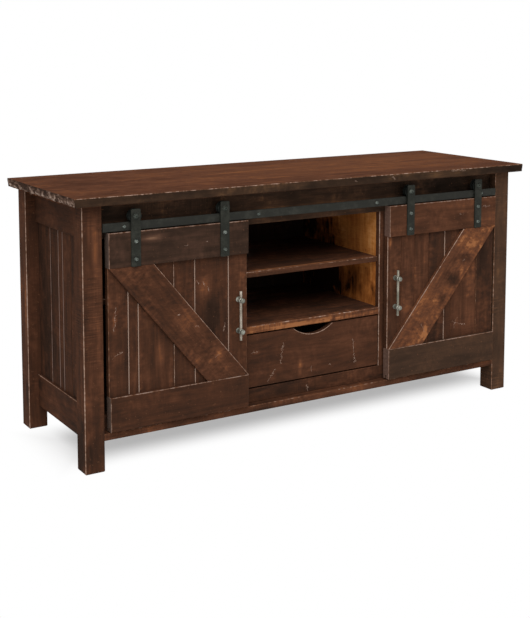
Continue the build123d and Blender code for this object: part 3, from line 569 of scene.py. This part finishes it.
dress("track_bar", metal("black_steel_track", shade(40, 40, 36), shade(60, 60, 54), 141.0, 0.55, 0.2, 0.3,
                         sheen=0.12))
dress("track_spacers", metal("black_steel_spacers", shade(26, 28, 26), shade(48, 50, 46), 143.0, 0.5, 0.3,
                             sheen=0.12))
dress("track_bolts", metal("black_steel_bolts", shade(96, 102, 96), shade(160, 166, 158), 145.0,
                           0.3, 0.8))


# ---- doors ----
# Each door is V-jointed planks with a wide rail along the top and the bottom
# and a brace that falls from one to the other. All have rubbed arrises.

smoky = [(0.0, shade(40, 30, 25)), (0.25, shade(54, 40, 32)), (0.5, shade(71, 51, 41)),
         (0.68, shade(87, 63, 50)), (0.84, shade(110, 82, 64)), (1.0, shade(148, 116, 92))]
dusty_ends = [(0.0, shade(86, 65, 55)), (0.45, shade(108, 84, 73)), (0.8, shade(130, 104, 92)),
              (1.0, shade(162, 138, 126))]
# the left door's rail ends are darker: painted shade for the leg's shadow on them
painted_shade_ends = [(0.0, shade(72, 58, 51)), (0.45, shade(90, 75, 67)), (0.8, shade(104, 89, 80)),
               (1.0, shade(124, 108, 98))]
rail_ends = {"left": painted_shade_ends, "right": dusty_ends}
door_shares = {
    "left": (0.135, 0.069, 0.252, 0.152, 0.250, 0.142),
    "right": (0.124, 0.123, 0.133, 0.147, 0.069, 0.244, 0.160),
}
door_tones = {
    "left": (-0.04, 0.02, 0.0, -0.04, -0.06, 0.06),
    "right": (0.03, 0.07, 0.08, -0.12, -0.03, 0.06, -0.12),
}
joint_rubs = {"left": (1.0, 0.95, 0.72, 0.9, 1.0), "right": (0.45, 0.4, 0.3, 0.8, 0.45, 0.6)}
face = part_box("left_door_planks")[0].y
rail_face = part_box("left_door_top_rail")[0].y      # the brace is flush with it
planks_finish = {
    "left": dict(
        rub=(0.7, 0.7, 0.7, 0.5, 0, 0),
        spots=[((-0.425, face, 0.526), (0.04, 0.02, 0.05), 0.3),
               ((-0.584, face, 0.332), (0.02, 0.02, 0.06), 0.3),
               ((-0.732, face, 0.454), (0.012, 0.02, 0.05), 0.3),
               ((-0.721, face, 0.345), (0.02, 0.02, 0.03), 0.2),
               ((-0.405, face, 0.42), (0.03, 0.02, 0.09), -0.22),
               ((-0.66, face, 0.27), (0.1, 0.02, 0.03), 0.14),
               ((-0.30, face, 0.40), (0.02, 0.02, 0.2), 0.12),
               ((-0.36, face, 0.30), (0.02, 0.02, 0.04), 0.24)],
        tracks=[((-0.728, 0.50), (-0.734, 0.42), 0.95), ((-0.745, 0.34), (-0.705, 0.362), 0.9),
                ((-0.455, 0.552), (-0.445, 0.535), 0.9), ((-0.438, 0.545), (-0.428, 0.524), 0.9),
                ((-0.420, 0.530), (-0.408, 0.508), 0.9), ((-0.352, 0.405), (-0.362, 0.372), 0.9)]),
    "right": dict(
        rub=(0.92, 0.7, 0.92, 0.5, 0, 0),
        spots=[((0.294, face, 0.597), (0.012, 0.02, 0.03), 0.4),
               ((0.64, face, 0.29), (0.09, 0.02, 0.07), 0.16),
               ((0.713, face, 0.50), (0.04, 0.02, 0.08), -0.16),
               ((0.40, face, 0.50), (0.06, 0.02, 0.1), 0.08)],
        tracks=[((0.575, 0.285), (0.64, 0.262), 0.9), ((0.60, 0.30), (0.585, 0.255), 0.8)]),
}
rails_finish = {
    "left_door_top_rail": dict(
        tone=-0.22, contrast=0.45, palette=smoky,
        spots=[((-0.609, rail_face, 0.700), (0.06, 0.03, 0.022), 0.42),
               ((-0.449, rail_face, 0.678), (0.09, 0.03, 0.04), 0.14)],
        tracks=[((-0.505, 0.665), (-0.488, 0.668), 0.95), ((-0.43, 0.668), (-0.418, 0.672), 0.95)]),
    "left_door_bottom_rail": dict(
        tone=-0.05, contrast=0.42,
        spots=[((-0.541, rail_face, 0.192), (0.03, 0.03, 0.02), 0.18),
               ((-0.40, rail_face, 0.16), (0.1, 0.03, 0.03), 0.08)]),
    "right_door_top_rail": dict(
        tone=0.1, contrast=0.42,
        spots=[((0.603, rail_face, 0.681), (0.03, 0.03, 0.01), 0.2),
               ((0.40, rail_face, 0.67), (0.1, 0.03, 0.04), 0.08)],
        tracks=[((0.59, 0.672), (0.615, 0.674), 0.9), ((0.70, 0.694), (0.74, 0.690), 0.95)]),
    "right_door_bottom_rail": dict(
        tone=0.06, contrast=0.3, palette=umber,
        spots=[((0.6, rail_face, 0.2), (0.2, 0.03, 0.03), 0.06)],
        tracks=[((0.34, 0.15), (0.36, 0.148), 0.7)]),
}
brace_run = 0.1485       # width of a brace along a rail
arris_reach = 0.006      # how far back from the front face an arris is rubbed
braces_finish = {
    "left": dict(
        tone=0.05,
        spots=[((-0.493, rail_face, 0.426), (0.07, 0.03, 0.05), 0.16),
               ((-0.388, rail_face, 0.306), (0.035, 0.03, 0.03), 0.26),
               ((-0.46, rail_face, 0.39), (0.03, 0.03, 0.03), 0.12),
               ((-0.62, rail_face, 0.53), (0.1, 0.03, 0.08), -0.05)],
        tracks=[((-0.53, 0.455), (-0.515, 0.448), 0.85), ((-0.47, 0.41), (-0.45, 0.405), 0.85),
                ((-0.40, 0.30), (-0.38, 0.308), 0.85)]),
    "right": dict(
        tone=0.27,
        spots=[((0.568, rail_face, 0.439), (0.034, 0.03, 0.036), -0.42),
               ((0.52, rail_face, 0.37), (0.02, 0.03, 0.05), -0.26),
               ((0.609, rail_face, 0.464), (0.014, 0.03, 0.03), 0.3),
               ((0.62, rail_face, 0.515), (0.05, 0.03, 0.02), -0.25),
               ((0.445, rail_face, 0.265), (0.016, 0.03, 0.04), 0.55),
               ((0.43, rail_face, 0.37), (0.06, 0.03, 0.09), 0.14),
               ((0.66, rail_face, 0.56), (0.05, 0.03, 0.05), 0.12)],
        tracks=[((0.425, 0.30), (0.44, 0.262), 0.9), ((0.607, 0.50), (0.62, 0.512), 0.85)]),
}
for side, mirror in (("left", 1), ("right", -1)):
    planks = f"{side}_door_planks"
    low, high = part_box(planks)
    rail_low, rail_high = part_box(f"{side}_door_top_rail")
    joints, reach = [], rail_low.x
    for share in door_shares[side][:-1]:
        reach += share * (rail_high.x - rail_low.x)
        joints.append(reach)
    groove = ("y", low.y + groove_rim, low.y + groove_floor)
    dress(planks, wood("stain_" + planks, planks, "z", 151.0 + mirror * 4, kerf=0.2, contrast=0.46,
                       straight=0.8, curl=1.3, brushed=0.16,
                       lines=("x", joints, door_tones[side], groove, joint_width, joint_rubs[side]),
                       **planks_finish[side]))
    for row, seed in (("top", 161.0), ("bottom", 167.0)):
        rail = f"{side}_door_{row}_rail"
        # lower arrises are rubbed less than upper ones: partly wear, partly painted shade where they face
        # down
        dress(rail, wood("stain_" + rail, rail, "x", seed + mirror * 2.3, kerf=0.15,
                         rub=(0.85, 0.6, 0.85, 0.4, 0.35, 0.86), ragged=0.8, pale=shade(142, 120, 108),
                         ends=rail_ends[side], end_grit=0.8, **rails_finish[rail]))
    brace = f"{side}_door_brace"
    low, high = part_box(brace)
    slope = math.atan2(high.z - low.z, (high.x - low.x - brace_run) * -mirror)

    def brace_rub(parts, low=low, high=high, slope=slope, mirror=mirror):
        """Rubbed along the brace's upper long arris."""
        start = low.x + brace_run if mirror == 1 else high.x - brace_run
        away = (parts["x"] - start) * math.sin(slope) - (parts["z"] - high.z) * math.cos(slope)
        away = away.math("ABSOLUTE", away)
        near_face = parts["y"].fall(low.y, low.y + arris_reach, 0.9, 0.0, "LINEAR")
        return away.fall(0.0, 0.0064, 0.9, 0.0, "LINEAR").least(near_face)

    dress(brace, wood("stain_" + brace, brace, slope, 173.0 + mirror, rub=(0, 0, 0, 0, 0, 0), kerf=0.1,
                      contrast=0.5, straight=0.5, curl=1.5, brushed=0.6, extra_rub=brace_rub,
                      **braces_finish[side]))


# ---- rollers and straps ----
# Each door hangs on two flat steel straps screwed to its top rail. A grooved
# steel wheel turns behind each strap on a bolt and runs on the bar.

for side in ("left", "right"):
    seed = 181.0 + len(side)
    dress(f"{side}_door_straps", metal(
        f"black_steel_{side}_straps", shade(36, 37, 32), shade(58, 59, 52), seed, 0.55, 0.2, sheen=0.12))
    dress(f"{side}_door_strap_screws", metal(
        f"{side}_strap_screws", shade(96, 102, 96), shade(170, 176, 168), seed + 2, 0.3, 0.85))
    dress(f"{side}_door_axle_bolts", metal(
        f"{side}_axle_bolts", shade(60, 64, 58), shade(120, 126, 118), seed + 4, 0.35, 0.7))
    for wheel in ("outer", "inner"):
        dress(f"{side}_door_{wheel}_wheel", metal(
            f"black_steel_{side}_{wheel}_wheel", shade(20, 22, 20), shade(44, 48, 44),
            seed + 6 + len(wheel), 0.5, 0.2, sheen=0.12))


# ---- handles ----
# A round rod of cast metal with a pewter finish, which passes through the
# collars of two turned posts. Each post has a foot on the door and a button
# in front. The screws that hold them from behind aren't modelled.

post_pitch = 0.101
rod_radius, rod_out = 0.0042, 0.0175
rod_ease = 0.0011
rod_skin = 0.0003        # what lies further than this outside the rod is a post
turned_facet = math.radians(35)
foot_radius, button_radius, button_round = 0.0085, 0.0078, 0.0028
# distance from the planks, and the radius there
post_turning = ((0.0030, 0.0085), (0.0041, 0.0062), (0.0095, 0.0054), (0.0115, 0.0070), (0.0130, 0.0082),
                (0.0220, 0.0082), (0.0238, 0.0064), (0.0252, 0.0062), (0.0268, 0.0078))
handle_low, handle_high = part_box("left_door_handle")
middle = (handle_low + handle_high) / 2
plank_line = handle_high.y
rod_y = plank_line - rod_out
top_post = middle.z + post_pitch / 2
bpy.ops.object.select_all(action="DESELECT")
bpy.ops.mesh.primitive_cylinder_add(vertices=28, radius=foot_radius, depth=handle_high.y - handle_low.y,
                                    location=(middle.x, middle.y, top_post), rotation=(math.pi / 2, 0, 0))
post = bpy.context.object
post.name = "handle_post"
bpy.ops.object.transform_apply(location=True, rotation=True, scale=True)
bpy.ops.object.mode_set(mode="EDIT")
cut([(0, plank_line - out, 0) for out, radius in post_turning], (0, 1, 0))
for out, radius in post_turning + ((plank_line - handle_low.y, button_radius),):
    pick(post, lambda co: abs(co.y - (plank_line - out)) < hair)
    bpy.ops.transform.resize(value=(radius / foot_radius, 1, radius / foot_radius),
                             center_override=(middle.x, plank_line - out, top_post))
pick(post, lambda co: co.y < handle_low.y + hair, "EDGE")
bpy.ops.mesh.bevel(offset=button_round, segments=4)
bpy.ops.object.mode_set(mode="OBJECT")
bpy.ops.object.duplicate()
lower_post = bpy.context.object
bpy.ops.transform.translate(value=(0, 0, -post_pitch))
bpy.ops.object.transform_apply(location=True, rotation=False, scale=False)
bpy.ops.object.select_all(action="DESELECT")
bpy.ops.mesh.primitive_cylinder_add(vertices=24, radius=rod_radius, depth=handle_high.z - handle_low.z,
                                    location=(middle.x, rod_y, middle.z))
left_handle = bpy.context.object
left_handle.name = "left_bar_handle"
bpy.ops.object.transform_apply(location=True, rotation=False, scale=False)
bpy.ops.object.mode_set(mode="EDIT")
for end in (handle_low.z, handle_high.z):
    pick(left_handle, lambda co: abs(co.z - end) < hair, "EDGE")
    bpy.ops.mesh.bevel(offset=rod_ease, segments=2)
bpy.ops.object.mode_set(mode="OBJECT")
for part in (post, lower_post):
    bpy.ops.object.modifier_add(type="BOOLEAN")
    union = left_handle.modifiers[-1]
    union.operation, union.solver, union.object = "UNION", "EXACT", part
    bpy.ops.object.modifier_apply(modifier=union.name)
left_handle.select_set(False)
post.select_set(True)
lower_post.select_set(True)
bpy.ops.object.delete()
left_handle.select_set(True)
bpy.context.view_layer.objects.active = left_handle
bpy.ops.object.duplicate()
right_handle = bpy.context.object
right_handle.name = "right_bar_handle"
bpy.ops.transform.translate(value=(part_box("right_door_handle")[0].x - handle_low.x, 0, 0))
bpy.ops.object.transform_apply(location=True, rotation=False, scale=False)
rod_colours = {"left": (shade(142, 131, 117), shade(212, 202, 188)),
               "right": (shade(122, 118, 104), shade(186, 180, 164))}
for side, piece in (("left", left_handle), ("right", right_handle)):
    bpy.ops.object.select_all(action="DESELECT")
    piece.select_set(True)
    bpy.context.view_layer.objects.active = piece
    low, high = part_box(f"{side}_door_handle")
    centre = (low.x + high.x) / 2
    piece.data.materials.clear()
    piece.data.materials.append(metal(f"pewter_{side}_rod", *rod_colours[side],
                                      191.0 + len(side), 0.4, 0.45, grime=shade(104, 106, 96)))
    piece.data.materials.append(metal(f"pewter_{side}_posts", shade(112, 112, 102), shade(196, 196, 184),
                                      197.0 + len(side), 0.35, 0.5, grime=shade(64, 70, 64)))
    bpy.ops.object.mode_set(mode="EDIT")
    piece.active_material_index = 1
    pick(piece, lambda co, normal:
         math.hypot(co.x - centre, co.y - rod_y) > rod_radius + rod_skin, "FACE")
    bpy.ops.object.material_slot_assign()
    bpy.ops.object.mode_set(mode="OBJECT")
    bpy.ops.object.shade_smooth_by_angle(angle=turned_facet)
    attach(piece, f"{side}_door")
    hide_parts(f"{side}_door_handle")


# ---- drawer ----
# A box of pale wood with dovetailed corners on side slides, behind a front
# board of stained wood with a scooped finger grip in its upper edge.

pale_wood = [(0.0, shade(120, 86, 54)), (0.4, shade(164, 126, 84)), (0.7, shade(190, 152, 106)),
             (1.0, shade(206, 172, 128))]
scoop_half, scoop_depth = 0.077, 0.027
scoop_radius = (scoop_half ** 2 + scoop_depth ** 2) / (2 * scoop_depth)
front_low, front_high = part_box("drawer_front")
front_back = -0.203      # behind it the board shows pale wood


def scoop_rub(parts):
    """Rubbed along the scooped part of the drawer front's upper edge."""
    down = parts["z"] - (front_high.z + scoop_radius - scoop_depth)
    away = parts["x"].node("CombineXYZ", {}, {0: parts["x"], 1: 0.0, 2: down})
    away = away.node("VectorMath", {"operation": "LENGTH"}, {0: away}, 1) - scoop_radius
    edge = away.math("ABSOLUTE", away).fall(0.0, 0.005, 0.9, 0.0, "LINEAR")
    return edge.least(parts["y"].fall(front_low.y, front_low.y + arris_reach, 1.0, 0.0, "LINEAR"))


face = front_low.y
dress("drawer_front", wood(
    "stain_drawer_front", "drawer_front", "x", 197.0, tone=0.02, rub=(0.3, 0.3, 0.4, 0, 0.3, 0.45),
    contrast=0.4, straight=0.7, brushed=0.12, kerf=0.0, hidden=(front_back, pale_wood),
    extra_rub=scoop_rub,
    spots=[((-0.052, face, 0.212), (0.013, 0.02, 0.055), 0.26),
           ((-0.19, face, 0.25), (0.1, 0.02, 0.08), -0.1),
           ((0.12, face, 0.27), (0.12, 0.02, 0.06), 0.08),
           ((-0.22, face, 0.279), (0.02, 0.02, 0.01), 0.2),
           ((-0.16, face, 0.19), (0.02, 0.02, 0.02), 0.2)],
    tracks=[((-0.120, 0.300), (-0.128, 0.225), 0.85), ((0.163, 0.275), (0.172, 0.185), 0.95),
            ((-0.145, 0.215), (-0.182, 0.172), 0.95), ((-0.242, 0.279), (-0.212, 0.284), 0.85),
            ((0.060, 0.196), (0.075, 0.192), 0.85), ((-0.01, 0.205), (-0.004, 0.18), 0.8)]))
for part, along, seed in (("drawer_left_side", "y", 201.0), ("drawer_right_side", "y", 203.0),
                          ("drawer_back", "x", 205.0), ("drawer_bottom", "x", 207.0)):
    dress(part, wood("pale_" + part, part, along, seed, palette=pale_wood, kerf=0.0, speck=0.0,
                     rub=(0, 0, 0, 0, 0, 0)))
for part in ("drawer_slide_outers", "drawer_slide_middles", "drawer_slide_inners"):
    dress(part, metal("zinc_" + part, shade(150, 152, 152), shade(190, 192, 190), 211.0 + len(part),
                      0.35, 0.9))


# ---- door guides ----
# Two nylon fins screwed to the ledge, which run in a slot under each door
# and keep it from swinging out.

dress("door_guides", metal("nylon_guides", shade(30, 30, 30), shade(46, 46, 46), 217.0, 0.6, 0.0, 0.1))


# ---- floor, light and camera ----
# A pale studio floor that keeps the stand's shadow and is white beyond it,
# under even light and a soft sun from above and from the front left.

def seen_directly(field):
    """1 where the camera sees a surface itself, in a gloss or through glass, and 0 for its light."""
    paths = field.node("LightPath").outputs()
    camera_ray, glossy_ray, transmission_ray = paths[0], paths[3], paths[6]
    return camera_ray.most(glossy_ray).most(transmission_ray)


bpy.ops.object.select_all(action="DESELECT")
bpy.ops.mesh.primitive_grid_add(x_subdivisions=8, y_subdivisions=8, size=40.0, location=(0, 0, 0))
floor = bpy.context.object
floor.name = "studio_floor"
material, place, (x, y, _), _ = new_material("studio_floor")
paper = noise(place, (3, 3, 3), 223.0)
lit = place.node("BsdfDiffuse", {}, {"Color": blend(shade(250, 250, 250), shade(253, 253, 253), paper)})
white = place.node("Emission", {}, {"Color": (1, 1, 1, 1), "Strength": 1.0})
seen = seen_directly(place)
under_stand = 0.42       # share of white under the stand, where its shadow lies
# distance from the stand's box over which the floor turns from that to white
side_fade, front_fade = (-0.10, 0.05), (-0.24, -0.04)
beside = x.math("ABSOLUTE", x) - solid_high.x
before = y.math("ABSOLUTE", y) - solid_high.y
whiter = beside.fall(*side_fade, under_stand, 1.0).most(before.fall(*front_fade, under_stand, 1.0))
mixed = seen * whiter
shown = place.node("MixShader", {}, {0: mixed, 1: lit, 2: white})
place.node("OutputMaterial", {}, {"Surface": shown})
floor.data.materials.append(material)
floor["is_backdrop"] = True

world = bpy.data.worlds.new("studio")
bpy.context.scene.world = world
world.use_nodes = True
world.node_tree.nodes.clear()
sky = Field(world.node_tree)
ambient = 0.45
strength = seen_directly(sky).fall(0.0, 1.0, ambient, 1.0, "LINEAR")
backdrop = sky.node("Background", {}, {"Color": (1, 1, 1, 1), "Strength": strength})
sky.node("OutputWorld", {}, {"Surface": backdrop})

lamp = bpy.data.lights.new("window_light", "SUN")
lamp.energy = 2.2
lamp.angle = math.radians(45)
window = bpy.data.objects.new("window_light", lamp)
bpy.context.scene.collection.objects.link(window)
window.rotation_mode = "QUATERNION"
window.rotation_quaternion = Vector((-0.42, -0.8, 1.0)).to_track_quat("Z", "Y")

camera = bpy.data.objects.new("camera", bpy.data.cameras.new("camera"))
bpy.context.scene.collection.objects.link(camera)
yaw, pitch = math.radians(31.34), math.radians(5.98)
camera.location = (-2.1102, -3.3782, 1.3111)
camera.data.lens = 67.50
camera.data.sensor_width = 36.0
camera.data.shift_y = -0.25
camera.rotation_mode = "QUATERNION"
looking = Vector((math.sin(yaw) * math.cos(pitch), math.cos(yaw) * math.cos(pitch), -math.sin(pitch)))
camera.rotation_quaternion = looking.to_track_quat("-Z", "Y")
bpy.context.scene.camera = camera
bpy.context.scene.view_settings.view_transform = "Standard"

low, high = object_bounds()
